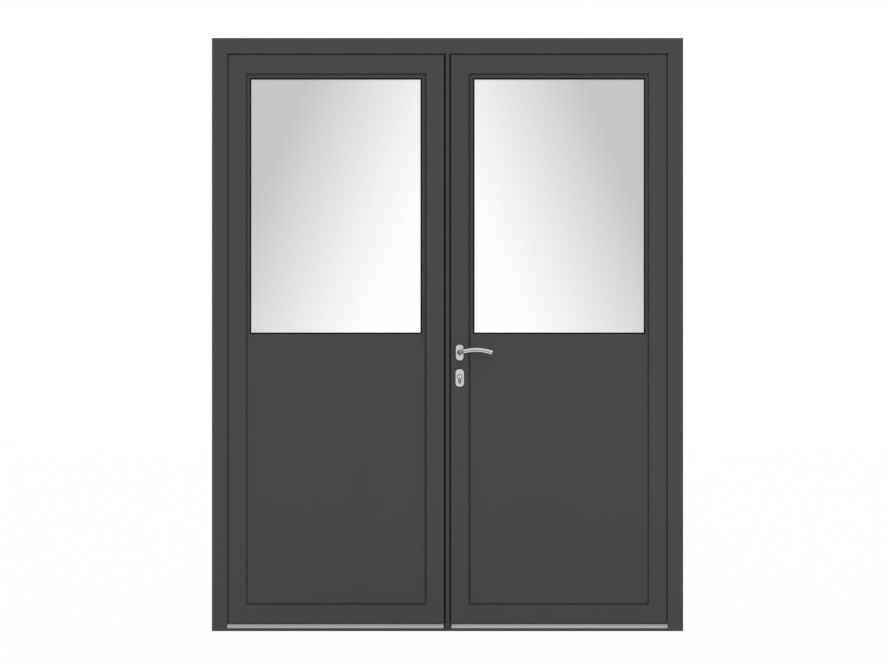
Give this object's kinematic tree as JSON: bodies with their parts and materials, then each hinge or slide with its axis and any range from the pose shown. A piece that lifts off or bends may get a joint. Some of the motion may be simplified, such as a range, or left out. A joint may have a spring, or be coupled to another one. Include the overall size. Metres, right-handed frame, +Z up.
{
  "type": "two-leaf half-glazed aluminium service door",
  "caption": "Aluminium double service door with a fixed frame and two inward-opening leaves, each half glazed over a solid panel, with a lever handle and a profile cylinder.",
  "frame": {"origin": "on the underside of the threshold, at the middle of the door's width and depth", "axes": "+X to the right seen from outside, +Y inwards through the doorway, +Z up"},
  "size_m": [1.708, 0.181, 2.15],
  "materials": {
    "anthracite_coat": "matt anthracite powder coat on aluminium",
    "panel_coat": "matt anthracite powder coat on an aluminium-faced panel",
    "black_polyamide": "black glass-filled polyamide",
    "black_rubber": "black EPDM",
    "mill_aluminium": "natural anodised aluminium",
    "spacer_aluminium": "mill finish aluminium",
    "float_glass": "clear float glass",
    "satin_stainless": "satin brushed stainless steel",
    "satin_nickel": "satin nickel plated brass",
    "plated_steel": "zinc plated steel"
  },
  "bodies": {
    "frame": {"left_jamb": "anthracite_coat", "right_jamb": "anthracite_coat", "head": "anthracite_coat", "frame_thermal_bars": "black_polyamide", "frame_gasket": "black_rubber", "threshold_base": "black_polyamide", "threshold_rail": "mill_aluminium", "threshold_keep": "anthracite_coat", "left_hinge_frame_plates": "anthracite_coat", "right_hinge_frame_plates": "anthracite_coat"},
    "left_leaf": {"left_hinge_stile": "anthracite_coat", "left_meeting_stile": "anthracite_coat", "left_top_rail": "anthracite_coat", "left_bottom_rail": "anthracite_coat", "left_thermal_bars": "black_polyamide", "left_panel": "panel_coat", "left_panel_gaskets": "black_rubber", "left_panel_beads": "anthracite_coat", "left_glass_panes": "float_glass", "left_glass_spacer": "spacer_aluminium", "left_window_gaskets": "black_rubber", "left_window_beads": "anthracite_coat", "left_hinge_leaf_plates": "anthracite_coat", "meeting_strip": "anthracite_coat", "meeting_seal": "black_rubber", "strike_plate": "satin_stainless", "flush_bolts": "satin_stainless"},
    "right_leaf": {"right_hinge_stile": "anthracite_coat", "right_meeting_stile": "anthracite_coat", "right_top_rail": "anthracite_coat", "right_bottom_rail": "anthracite_coat", "right_thermal_bars": "black_polyamide", "right_panel": "panel_coat", "right_panel_gaskets": "black_rubber", "right_panel_beads": "anthracite_coat", "right_glass_panes": "float_glass", "right_glass_spacer": "spacer_aluminium", "right_window_gaskets": "black_rubber", "right_window_beads": "anthracite_coat", "right_hinge_leaf_plates": "anthracite_coat", "mortise_lock": "satin_stainless", "lock_bolts": "satin_stainless", "lock_cylinder": "satin_nickel", "rosettes": "satin_stainless", "escutcheons": "satin_stainless"},
    "lever": {"outside_lever": "satin_stainless", "inside_lever": "satin_stainless", "lever_spindle": "plated_steel"}
  },
  "joints": [
    {"name": "right_leaf_swing", "type": "hinge", "parent": "frame", "child": "right_leaf", "pos_m": [0.814, 0.047, 0], "axis": [0, 0, -1], "range_deg": [0, 110]},
    {"name": "left_leaf_swing", "type": "hinge", "parent": "frame", "child": "left_leaf", "pos_m": [-0.814, 0.047, 0], "axis": [0, 0, 1], "range_deg": [0, 110]},
    {"name": "lever_turn", "type": "hinge", "parent": "right_leaf", "child": "lever", "pos_m": [0.0443, 0, 1.01], "axis": [0, 1, 0], "range_deg": [0, 40], "stiffness_Nm_per_rad": 1.5, "springref_deg": -17.19}
  ]
}
